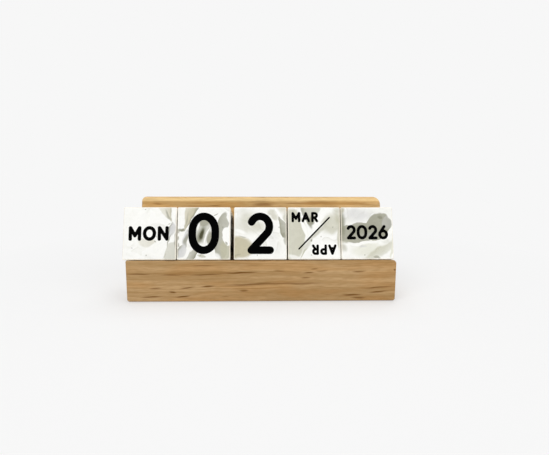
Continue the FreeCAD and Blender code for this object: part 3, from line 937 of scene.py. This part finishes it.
@dataclass
class Board:
    """How one board of the calendar was cut, and whether it leans and has a painted highlight along its upper
    edge.
    """

    node: str
    grain: Grain
    shift: Triple
    wood: Wood
    lean: float = 0.0
    rubbed: bool = False

    def dress(self) -> None:
        """Puts the wood on the board. Its upper edge lies furthest along the way that it leans."""
        piece = frame["nodes"][self.node]
        edge = None
        if self.rubbed:
            points = np.empty(3 * len(piece.data.vertices))
            piece.data.vertices.foreach_get("co", points)
            upwards = np.array([0.0, math.sin(self.lean), math.cos(self.lean)])
            edge = tuple(float(x) for x in upwards * (points.reshape(-1, 3) @ upwards).max())
        dress(piece, self.wood.material(self.node, self.grain, self.shift, self.lean, edge))
        log.info("board: %s", self.node)


REST_VEINS = (
    Vein(0.0, 75.0, 240.0, 2.4, 0.55),
    Vein(-95.0, 73.0, 26.0, 3.6, 0.22),
    Vein(-88.0, 69.4, 11.0, 2.4, 0.45),
    Vein(-55.0, 69.4, 20.0, 2.0, 0.20),
    Vein(-46.0, 67.2, 60.0, 1.8, 0.25),
    Vein(1.7, 68.6, 26.0, 4.0, 0.64),
    Vein(-1.0, 71.0, 26.0, 2.0, 0.25),
    Vein(27.0, 69.6, 18.0, 1.8, 0.40),
    Vein(49.0, 70.3, 46.0, 4.6, 0.42),
    Vein(56.0, 67.4, 26.0, 2.0, 0.35),
    Vein(79.0, 69.8, 28.0, 2.4, 0.30),
    Vein(0.0, 66.8, 240.0, 2.2, 0.20),
)


@dataclass
class Case:
    """The wooden case with its rest."""

    wood: Wood = Wood("case_wood")
    # The rest's wood is paler and yellower than the case's: partly its own tone, partly painted light for a
    # face that leans back towards the light.
    rest_wood: Wood = Wood("rest_wood", light="e0bb87", middle="c59f68", streak="a37b44", pore="80531c",
                           rubbed="f6d59a", fleck_start=0.71, veins=REST_VEINS)
    dowel_wood: Wood = Wood("dowel_wood", light="dcc096", middle="d2b285", streak="b59260")

    def boards(self) -> list[Board]:
        """Lists the boards, each cut from its own stretch of the log."""
        row, deep = Grain.ALONG_ROW, Grain.FRONT_TO_BACK
        return [
            Board("base_board", row, (40.0, 11.0, 35.0), self.wood),
            Board("left_cheek", deep, (15.0, 70.0, 12.0), self.wood),
            Board("right_cheek", deep, (77.0, -48.0, 25.0), self.wood),
            Board("rear_wall", row, (130.0, 20.0, 3.0), self.wood),
            Board("rear_ledge", row, (210.0, 9.0, 21.0), self.wood),
            Board("seat_board", row, (90.0, 4.0, 17.0), self.wood),
            # The rest's rounded upper edge gets a painted highlight.
            Board("back_rest", row, (310.0, 25.0, 6.0), self.rest_wood, row_lean(), True),
            Board("rest_dowels", Grain.UPRIGHT, (5.0, 5.0, 5.0), self.dowel_wood),
        ]

    def dress(self) -> None:
        """Puts the wood on the boards."""
        for board in self.boards():
            board.dress()


FRONT_VEINS_AND_SHADOW_LINE = (
    Vein(-93.0, 22.2, 26.0, 1.7, 0.80),
    Vein(-67.6, 21.6, 25.0, 1.6, 0.55, 1.0),
    Vein(-41.6, 21.7, 32.0, 1.7, 0.80, 2.5),
    Vein(-16.0, 23.3, 36.0, 1.8, 0.95, 1.5),
    Vein(-43.7, 28.7, 24.0, 1.8, 0.50),
    Vein(-40.8, 12.6, 15.0, 2.0, 0.95, 4.0),
    Vein(-56.3, 11.3, 15.0, 1.6, 0.80, 9.0),
    Vein(-80.3, 11.1, 13.0, 1.8, 0.60, 2.0),
    Vein(-67.6, 8.1, 8.0, 2.2, 0.95, -3.0),
    Vein(-83.5, 4.3, 20.0, 1.6, 0.75, 3.0),
    Vein(-59.5, 4.7, 15.0, 1.9, 0.95, 6.0),
    Vein(-13.8, 9.2, 10.0, 2.0, 0.70, 1.0),
    Vein(-4.0, 14.2, 74.0, 2.4, 0.66, 1.5),
    Vein(30.0, 14.6, 50.0, 2.6, 0.50, -0.5),
    Vein(-14.0, 13.2, 22.0, 1.4, 0.45, 2.0),
    Vein(13.0, 24.2, 12.0, 1.5, 0.55),
    Vein(35.4, 22.9, 11.0, 1.7, 0.85, 2.0),
    Vein(33.4, 18.9, 10.0, 1.6, 0.65),
    Vein(39.6, 25.9, 8.0, 2.0, 0.55, 8.0),
    Vein(45.6, 24.5, 13.0, 1.5, 0.45, 3.0),
    Vein(73.9, 24.0, 14.0, 1.6, 0.70, 2.0),
    Vein(68.6, 5.4, 21.0, 1.9, 0.92, 1.5),
    Vein(73.8, 3.2, 16.0, 2.0, 0.78, -1.0),
    Vein(89.3, 11.4, 30.0, 1.7, 0.72, 4.0),
    Vein(88.6, 7.8, 20.0, 1.8, 0.82, 4.0),
    Vein(101.0, 25.0, 2.6, 1.8, 0.90),
    # Painted shadow: a dark line along the top edge, where the cubes stand on the board.
    Vein(-12.0, 32.7, 190.0, 1.8, 0.55),
    Vein(44.0, 32.7, 90.0, 1.8, 0.35),
    Vein(-70.0, 32.7, 16.0, 1.8, 0.50),
)


@dataclass
class Drawer:
    """The drawer with its full-width front."""

    front_wood: Wood = Wood("front_wood", pore="6c4514", fleck_start=0.70, veins=FRONT_VEINS_AND_SHADOW_LINE)
    box_wood: Wood = Wood("drawer_box_wood", light="dcc298", middle="cfb083", streak="b7925f", pore="8d6538")
    ply: Wood = Wood("drawer_ply", light="dfc8a2", middle="d4b98e", streak="bd9a6a", pore="9a7547", wave=4.5)
    steel: Steel = Steel()

    def boards(self) -> list[Board]:
        """Lists the boards, each cut from its own stretch of the log."""
        row, deep = Grain.ALONG_ROW, Grain.FRONT_TO_BACK
        return [
            Board("drawer_front", row, ORIGIN, self.front_wood),
            Board("drawer_inner_front", row, (55.0, 30.0, 40.0), self.box_wood),
            Board("drawer_back", row, (155.0, 35.0, 14.0), self.box_wood),
            Board("drawer_left_side", deep, (21.0, 64.0, 9.0), self.box_wood),
            Board("drawer_right_side", deep, (61.0, -72.0, 19.0), self.box_wood),
            Board("drawer_bottom", row, (250.0, 14.0, 60.0), self.ply),
        ]

    def dress(self) -> None:
        """Puts the wood on the boards and the plating on the screws."""
        for board in self.boards():
            board.dress()
        dress(frame["nodes"]["drawer_screws"], self.steel.material())
        log.info("screws: drawer_screws")


@dataclass
class Print:
    """The print on a 40 mm face: sizes and places in millimetres."""

    numbers: Lettering = Lettering(31.6, 5.8)
    days: Lettering = Lettering(11.2, 2.65, 1.1)
    day_middle: Pair = (-0.8, -0.1)
    years: Lettering = Lettering(11.1, 2.3, 0.5)
    year_middle: Pair = (0.1, 0.7)
    months: Lettering = Lettering(8.0, 1.95, 0.9)
    upper: Pair = (-7.0, 12.3)
    lower: Pair = (7.5, -12.6)
    slash: Slash = Slash((11.7, 12.0), 1.15)
    proud: float = 0.05
    sunk: float = 0.02

    def number(self, text: str) -> list[Word]:
        """Lays out one large number."""
        return [Word(text, self.numbers)]

    def year(self, text: str) -> list[Word]:
        """Lays out a year in the middle."""
        return [Word(text, self.years, self.year_middle)]

    def pair(self, text: str) -> list[Word | Slash]:
        """Lays out two names on either side of a slash, the second upside down."""
        first, second = text.split("/")
        return [Word(first, self.months, self.upper), Word(second, self.months, self.lower, True), self.slash]

    def day(self, text: str) -> list[Word | Slash]:
        """Lays out one day of the week in the middle, or two of them as a pair."""
        return self.pair(text) if "/" in text else [Word(text, self.days, self.day_middle)]


WEEKDAY_FOLDS_AND_SEAM_SHADE = (
    Swirl((0.56, 1.00), (0.26, 0.66), Tint.SAND, 0.85, lean=-24, fade=0.6, taper=0.8, rim=0.3),
    Swirl((0.68, 0.66), (0.07, 0.32), Tint.DEEP, 0.95, 0.7, lean=-27, fade=0.7, taper=-0.3),
    Swirl((0.84, 0.12), (0.13, 0.34), Tint.MIST, 1.0, 0.3, lean=8, fade=-0.4, rim=0.8),
    Swirl((0.76, -0.28), (0.035, 0.36), Tint.DEEP, 0.75, 0.7, lean=24),
    Swirl((0.70, 0.34), (0.08, 0.04), Tint.DEEP, 0.6, 0.8, lean=-20),
    Swirl((0.94, -0.74), (0.40, 0.50), Tint.CLOUD, 0.7, lean=30, fade=0.2),
    Swirl((0.56, -0.84), (0.05, 0.16), Tint.CLOUD, 0.5, 0.8, lean=20),
    Swirl((-0.10, -0.36), (0.34, 0.20), Tint.SAND, 0.5, 0.35, fade=0.4, taper=0.3),
    Swirl((0.20, -0.33), (0.04, 0.045), Tint.DEEP, 0.9, 0.8),
    Swirl((-0.17, 0.91), (0.05, 0.03), Tint.DEEP, 0.7, 0.8),
    Swirl((-0.64, -0.56), (0.05, 0.03), Tint.MIST, 0.9, 0.8),
    Swirl((0.30, 0.24), (0.30, 0.16), Tint.MIST, 0.22, 0.9),
    # Painted shade beside the seam with the next cube, along the right edge.
    Swirl((1.00, -0.05), (0.07, 0.95), Tint.DEEP, 0.75, 0.9),
)

TENS_FOLDS = (
    Swirl((-0.52, 0.84), (0.22, 0.90), Tint.SAND, 1.0, 0.2, lean=17, fade=0.4, taper=0.75, rim=0.8),
    Swirl((-0.66, 0.46), (0.06, 0.44), Tint.DEEP, 0.55, 0.9, lean=17),
    Swirl((-0.84, 0.10), (0.17, 0.08), Tint.DEEP, 0.9, 0.8, lean=12),
    Swirl((-0.80, 0.10), (0.06, 0.10), Tint.DEEP, 0.9, 0.7, lean=22),
    Swirl((-0.93, 0.06), (0.06, 0.10), Tint.STONE, 0.8, 0.6),
    Swirl((-0.97, -0.20), (0.05, 0.14), Tint.DEEP, 0.8, 0.6),
    Swirl((-0.68, -0.22), (0.11, 0.36), Tint.MIST, 1.0, 0.3, lean=8, fade=0.5, rim=0.8),
    Swirl((-0.84, -0.70), (0.18, 0.30), Tint.MIST, 1.0, 0.3, lean=24, fade=-0.4, rim=0.9),
    Swirl((-0.94, -0.44), (0.05, 0.12), Tint.DEEP, 0.7, 0.7),
    Swirl((-0.66, -0.25), (0.09, 0.25), Tint.DEEP, 0.75, 0.6, lean=12),
    Swirl((-0.40, -0.82), (0.15, 0.40), Tint.STONE, lean=34, fade=0.4, taper=-0.2, rim=0.8),
    Swirl((-0.06, -0.88), (0.20, 0.06), Tint.CLOUD, 0.8, 0.5, lean=8),
    Swirl((-0.02, 0.08), (0.34, 0.58), Tint.STONE, 0.65, 0.35, lean=10, fade=-0.3),
    Swirl((0.00, 0.44), (0.28, 0.22), Tint.STONE, 0.95, 0.5),
    Swirl((-0.23, 0.26), (0.04, 0.24), Tint.WHITE, 0.7, 0.6, lean=16),
    Swirl((-0.10, -0.04), (0.18, 0.46), Tint.DEEP, 0.95, 0.6, lean=16),
    Swirl((0.10, -0.10), (0.05, 0.42), Tint.WHITE, 0.85, 0.5, lean=17),
    Swirl((0.21, -0.20), (0.10, 0.28), Tint.STONE, 1.0, 0.5, lean=8),
    Swirl((-0.08, -0.02), (0.10, 0.25), Tint.CORE, 1.0, 0.6, lean=16),
    Swirl((0.66, -0.08), (0.27, 1.02), Tint.STONE, 0.92, lean=6, fade=-0.2, bow=0.35, taper=-0.35, rim=0.4),
    Swirl((0.82, -0.66), (0.27, 0.56), Tint.REED, 0.9, 0.45),
    Swirl((0.48, -0.92), (0.16, 0.24), Tint.WHITE, 0.8, 0.6, lean=-24),
    Swirl((0.90, -0.13), (0.20, 0.38), Tint.WHITE, lean=-6, taper=0.3),
    Swirl((0.86, -0.38), (0.05, 0.11), Tint.STONE, 0.8, 0.6, lean=-26),
    Swirl((0.46, 0.70), (0.03, 0.17), Tint.DEEP, 0.7, 0.6, lean=54),
)

UNITS_FOLDS_AND_SEAM_SHADE = (
    Swirl((-0.56, 0.30), (0.74, 0.50), Tint.REED, 0.42, 0.8),
    Swirl((0.90, 0.96), (0.34, 0.30), Tint.SAND, 0.55, 0.8),
    Swirl((-0.50, 0.66), (0.46, 0.40), Tint.REED, 0.45, 0.9),
    Swirl((0.56, 0.62), (0.22, 0.18), Tint.REED, 0.6, 0.7, lean=-20),
    Swirl((0.97, 0.58), (0.14, 0.34), Tint.REED, 0.6, 0.8),
    # Painted shade beside the seam with the next cube, low on the right edge.
    Swirl((0.97, -0.28), (0.11, 0.24), Tint.STONE, 0.7, 0.7),
    Swirl((-0.04, 0.22), (0.40, 0.34), Tint.REED, 0.5, 0.8),
    Swirl((-0.78, 0.08), (0.36, 0.10), Tint.WHITE, 0.9, 0.7, lean=22),
    Swirl((-0.80, -0.58), (0.64, 0.50), Tint.SAND, 1.0, 0.34, lean=10, fade=-0.1, taper=0.2),
    Swirl((-0.66, -0.16), (0.20, 0.06), Tint.DEEP, 0.5, 0.8, lean=10),
    Swirl((-0.60, -1.02), (0.60, 0.16), Tint.WHITE, 0.5, 0.8),
    Swirl((-0.90, -0.84), (0.18, 0.06), Tint.DEEP, 0.35, 0.7, lean=-16),
    Swirl((0.42, 0.80), (0.26, 0.17), Tint.REED, 0.5, 0.6),
    Swirl((0.86, 0.22), (0.13, 0.48), Tint.STONE, lean=-14, fade=-0.3, bow=-0.2, taper=-0.35, rim=0.6),
    Swirl((0.88, -0.08), (0.09, 0.14), Tint.DEEP, 0.5, 0.6),
    Swirl((0.74, 0.72), (0.06, 0.36), Tint.WHITE, 0.9, 0.4, lean=-34),
    Swirl((0.44, -0.10), (0.34, 0.60), Tint.MIST, 0.28, 0.9, lean=-12),
    Swirl((0.50, -0.66), (0.50, 0.22), Tint.MIST, 0.16, 0.9, lean=-20),
)

MONTH_FOLDS = (
    Swirl((-0.92, -0.06), (0.66, 1.05), Tint.REED, 0.76, 0.14, fade=0.15),
    Swirl((-0.98, 0.98), (0.36, 0.16), Tint.WHITE, 0.6, 0.8),
    Swirl((-0.74, -0.94), (0.50, 0.12), Tint.WHITE, 0.7, 0.6, lean=24),
    Swirl((-0.42, -0.76), (0.04, 0.30), Tint.REED, 0.8, 0.6, lean=36),
    Swirl((0.70, 0.36), (0.56, 0.48), Tint.REED, 0.66, 0.5, lean=-24),
    Swirl((0.96, 0.62), (0.22, 0.60), Tint.REED, 0.6, 0.7, lean=-10),
    Swirl((-0.14, 0.94), (0.42, 0.76), Tint.CLOUD, 0.86, 0.2, fade=-0.25, taper=0.8, rim=0.6),
    Swirl((-0.12, 0.42), (0.16, 0.31), Tint.DEEP, 0.85, 0.6),
    Swirl((-0.40, 0.22), (0.10, 0.42), Tint.WHITE, 0.95, 0.4, lean=-24),
    Swirl((0.22, 0.54), (0.12, 0.70), Tint.WHITE, 0.85, 0.4, lean=36),
    Swirl((0.44, -0.62), (0.66, 0.44), Tint.WHITE, 0.95, 0.5),
    Swirl((0.13, 0.02), (0.15, 0.68), Tint.CLOUD, 0.7, 0.8, lean=45),
    Swirl((-0.08, -0.27), (0.04, 0.045), Tint.DEEP, 0.9, 0.8),
    Swirl((0.94, -0.20), (0.08, 0.60), Tint.REED, 0.7, 0.6),
    Swirl((-0.30, -0.50), (0.13, 0.44), Tint.CLOUD, 0.5, 0.8, lean=40),
)

YEAR_FOLDS_AND_SEAM_SHADE = (
    Swirl((-0.36, 0.70), (0.80, 0.40), Tint.MIST, 0.6, 0.8),
    Swirl((0.00, -0.62), (0.95, 0.36), Tint.VEIL, 0.75, 0.7),
    Swirl((-0.36, -0.02), (0.95, 0.37), Tint.STONE, 0.95, 0.1, lean=-3),
    Swirl((0.36, -0.02), (0.44, 0.28), Tint.STONE, lean=-18),
    Swirl((-0.28, 0.26), (0.36, 0.19), Tint.STONE, 0.95, 0.15, rim=0.3),
    Swirl((0.46, 0.35), (0.46, 0.48), Tint.STONE, 1.0, 0.1, lean=30, rim=0.5),
    Swirl((0.16, 0.36), (0.24, 0.18), Tint.STONE, 1.0, 0.14, lean=-38),
    Swirl((-0.10, 0.10), (0.80, 0.30), Tint.DEEP, 0.42, 0.8),
    Swirl((0.10, -0.06), (0.44, 0.16), Tint.MIST, 0.25, 0.8),
    Swirl((0.75, 0.40), (0.17, 0.33), Tint.MIST, 0.38, 0.2, fade=-0.2),
    Swirl((0.50, 0.67), (0.13, 0.08), Tint.DEEP, 0.95, 0.7, lean=24),
    Swirl((0.76, -0.12), (0.08, 0.50), Tint.WHITE, 0.95, 0.5, lean=44),
    Swirl((-0.30, -0.42), (0.80, 0.07), Tint.WHITE, 0.95, 0.6, lean=-4),
    Swirl((-0.84, -0.34), (0.30, 0.10), Tint.CLOUD, 0.7, 0.8),
    Swirl((0.50, -0.70), (0.20, 0.84), Tint.REED, 0.72, 0.4, lean=60, fade=-0.5, bow=-0.6),
    Swirl((0.94, -0.50), (0.07, 0.56), Tint.VEIL, 0.9, 0.5, lean=10),
    Swirl((0.36, -0.90), (0.18, 0.07), Tint.STONE, 0.85, 0.6, lean=14),
    Swirl((0.72, -0.30), (0.24, 0.14), Tint.CLOUD, 0.3, 0.8),
    # Painted shade beside the seam with the cube to the left, low on the left edge.
    Swirl((-0.94, -0.58), (0.18, 0.26), Tint.CLOUD, 0.7, 0.8),
    Swirl((-0.93, 0.86), (0.14, 0.17), Tint.SAND, 0.7, 0.7),
    Swirl((-0.16, -0.52), (0.18, 0.06), Tint.MIST, 0.6, 0.8, lean=10),
    # Painted shade beside the seam with the cube to the left, along the left edge.
    Swirl((-0.97, 0.34), (0.22, 0.92), Tint.DEEP, 0.9, 0.8),
)


@dataclass
class Cube:
    """One cube: its node, its body, what its six faces say and its marbling, with painted shade beside a seam
    on some.
    """

    node: str
    body: str
    faces: Sequence[str]
    layout: Callable[[str], Sequence[Word | Slash]]
    seed: float
    swirls: Sequence[Swirl]


@dataclass
class CubeRow:
    """The five resin cubes with the figures on all their faces."""

    resin: Resin = Resin()
    ink: Ink = Ink()
    figures: Print = field(default_factory=Print)
    lean: float = field(default_factory=row_lean)

    def cubes(self) -> list[Cube]:
        """Lists the cubes. What their faces say is in the order of Face, so the first one is in front.

        Returns:
            The cubes, from the left.
        """
        days = ("MON", "TUE", "WED", "THU", "FRI", "SAT/SUN")
        months = ("MAR/APR", "MAY/JUN", "JUL/AUG", "SEP/OCT", "NOV/DEC", "JAN/FEB")
        years = [str(year) for year in range(2026, 2032)]
        return [
            Cube("weekday_cube", "weekday", days, self.figures.day, 1.7, WEEKDAY_FOLDS_AND_SEAM_SHADE),
            Cube("tens_cube", "tens", "012345", self.figures.number, 4.2, TENS_FOLDS),
            Cube("units_cube", "units", "201678", self.figures.number, 8.9, UNITS_FOLDS_AND_SEAM_SHADE),
            Cube("month_cube", "month", months, self.figures.pair, 12.3, MONTH_FOLDS),
            Cube("year_cube", "year", years, self.figures.year, 17.8, YEAR_FOLDS_AND_SEAM_SHADE),
        ]

    def print_figures(self, cube: Cube, centre: np.ndarray, half: float, ink: bpy.types.Material) -> None:
        """Makes the print on a cube's six faces as thin raised plates.

        A point of a face is the cube's centre, plus half a side and the height along the face's normal,
        plus x along its right and y along its up, all turned back by the lean.

        Args:
            cube: the cube.
            centre: its centre.
            half: half its side.
            ink: the material of the print.
        """
        turn = np.array(Euler((-self.lean, 0.0, 0.0)).to_matrix())
        points, triangles, count = [], [], 0
        for face, text in zip(Face, cube.faces):
            outlines = [outline for mark in cube.layout(text) for outline in mark.outlines()]
            plate_points, plate_triangles = plate(*union(outlines), -self.figures.sunk, self.figures.proud)
            normal, up = (np.array(way, float) for way in face.value)
            axes = np.stack([np.cross(up, normal), up, normal])
            local = plate_points * MM @ axes + half * normal
            points.append(centre + local @ turn.T)
            triangles.append(plate_triangles + count)
            count += len(plate_points)
        piece = mesh_object(f"{cube.body}_figures", np.concatenate(points), np.concatenate(triangles))
        dress(piece, ink)
        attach(piece, cube.body)
        log.info("print: %s", piece.name)

    def build(self) -> None:
        """Casts and prints the five cubes."""
        ink = self.ink.material()
        for cube in self.cubes():
            low, high = (np.array(corner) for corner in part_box(cube.node))
            centre, half = (low + high) / 2, float(high[0] - low[0]) / 2
            resin = self.resin.material(cube.node, tuple(centre), self.lean, half, cube.seed, cube.swirls)
            dress(frame["nodes"][cube.node], resin)
            log.info("cube: %s", cube.node)
            self.print_figures(cube, centre, half, ink)


# --------------------------------------------------------------------------- studio


@dataclass(frozen=True)
class Lamp:
    """A square soft lamp that looks at the calendar."""

    name: str
    place: Triple
    side: float
    power: float
    aim: Triple = (0.0, 0.0, 0.03)

    def build(self) -> None:
        """Hangs the lamp."""
        light = bpy.data.lights.new(self.name, "AREA")
        light.size = self.side
        light.energy = self.power
        lamp = bpy.data.objects.new(self.name, light)
        lamp.location = self.place
        lamp.rotation_euler = (Vector(self.aim) - lamp.location).to_track_quat("-Z", "Y").to_euler()
        bpy.context.scene.collection.objects.link(lamp)


@dataclass
class Studio:
    """Pale floor, pale surroundings, soft lamps and the camera."""

    frame_width: float = 549.0
    focal_pixels: float = 483.0
    film_width: float = 36.0
    near: float = 0.01
    place: Triple = (-0.00133, -0.38595, 0.11728)
    pitch: float = math.radians(9.54)
    turn: float = math.radians(1.71)
    roll: float = math.radians(0.25)
    pale: str = "f7f7f7"
    floor_reach: float = 3.0
    glow_reach: Pair = (0.10, 0.34)
    near_glow: float = 0.45
    world_light: float = 0.46
    lamps: Sequence[Lamp] = (
        Lamp("key", (-0.55, -0.85, 1.05), 0.8, 6.6),
        Lamp("fill", (0.75, -0.75, 0.55), 0.8, 2.9),
        Lamp("top", (0.1, 0.35, 1.1), 0.7, 3.8),
    )

    def build(self) -> None:
        """Sets up the studio."""
        self.camera()
        self.floor()
        self.world()
        for lamp in self.lamps:
            lamp.build()
        bpy.context.scene.view_settings.view_transform = "Standard"
        log.info("studio: ready")

    def camera(self) -> None:
        """Sets the camera: it looks down by pitch, to the right by turn, and is rolled about its own axis."""
        data = bpy.data.cameras.new("camera")
        data.sensor_width = self.film_width
        data.lens = self.focal_pixels * self.film_width / self.frame_width
        data.clip_start = self.near
        camera = bpy.data.objects.new("camera", data)
        camera.location = self.place
        aim = Euler((math.pi / 2 - self.pitch, 0.0, -self.turn)).to_matrix()
        camera.rotation_euler = (aim @ Euler((0.0, 0.0, self.roll)).to_matrix()).to_euler()
        bpy.context.scene.collection.objects.link(camera)
        bpy.context.scene.camera = camera

    def floor(self) -> None:
        """Lays a floor that keeps the calendar's shadow and melts into the pale surroundings further out."""
        corners = self.floor_reach * np.array([(-1, -1, 0), (1, -1, 0), (1, 1, 0), (-1, 1, 0)])
        floor = mesh_object("floor", corners, np.array([(0, 1, 2), (0, 2, 3)]))
        g = material_graph("floor_paper")
        away = g.length(g.put("TexCoord").outputs["Object"])
        seen = g.put("LightPath").outputs["Is Camera Ray"]
        paper = g.put("BsdfDiffuse", {"Color": shade(self.pale)}).outputs[0]
        glow = g.put("Emission", {"Color": shade(self.pale), "Strength": 1.0}).outputs[0]
        share = g.times(g.spread(away, *self.glow_reach, self.near_glow, 1.0), seen)
        both = g.put("MixShader", {0: share, 1: paper, 2: glow}).outputs[0]
        g.put("OutputMaterial", {"Surface": both})
        dress(floor, g.owner)

    def world(self) -> None:
        """Lights the calendar evenly from all round, and shows the pale colour wherever it is looked at."""
        world = bpy.data.worlds.new("studio")
        bpy.context.scene.world = world
        g = Graph(world)
        rays = g.put("LightPath").outputs
        seen = g.math("MAXIMUM", rays["Is Camera Ray"], rays["Is Glossy Ray"])
        light = g.put("Background", {"Color": shade("ffffff"), "Strength": self.world_light}).outputs[0]
        shown = g.put("Background", {"Color": shade(self.pale)}).outputs[0]
        both = g.put("MixShader", {0: seen, 1: light, 2: shown}).outputs[0]
        g.put("OutputWorld", {"Surface": both})


def main() -> None:
    """Builds the calendar's looks in order."""
    logging.basicConfig(level=logging.INFO, format="%(name)s: %(message)s")
    Studio().build()
    Case().dress()
    Drawer().dress()
    CubeRow().build()


if __name__ == "__main__":
    main()
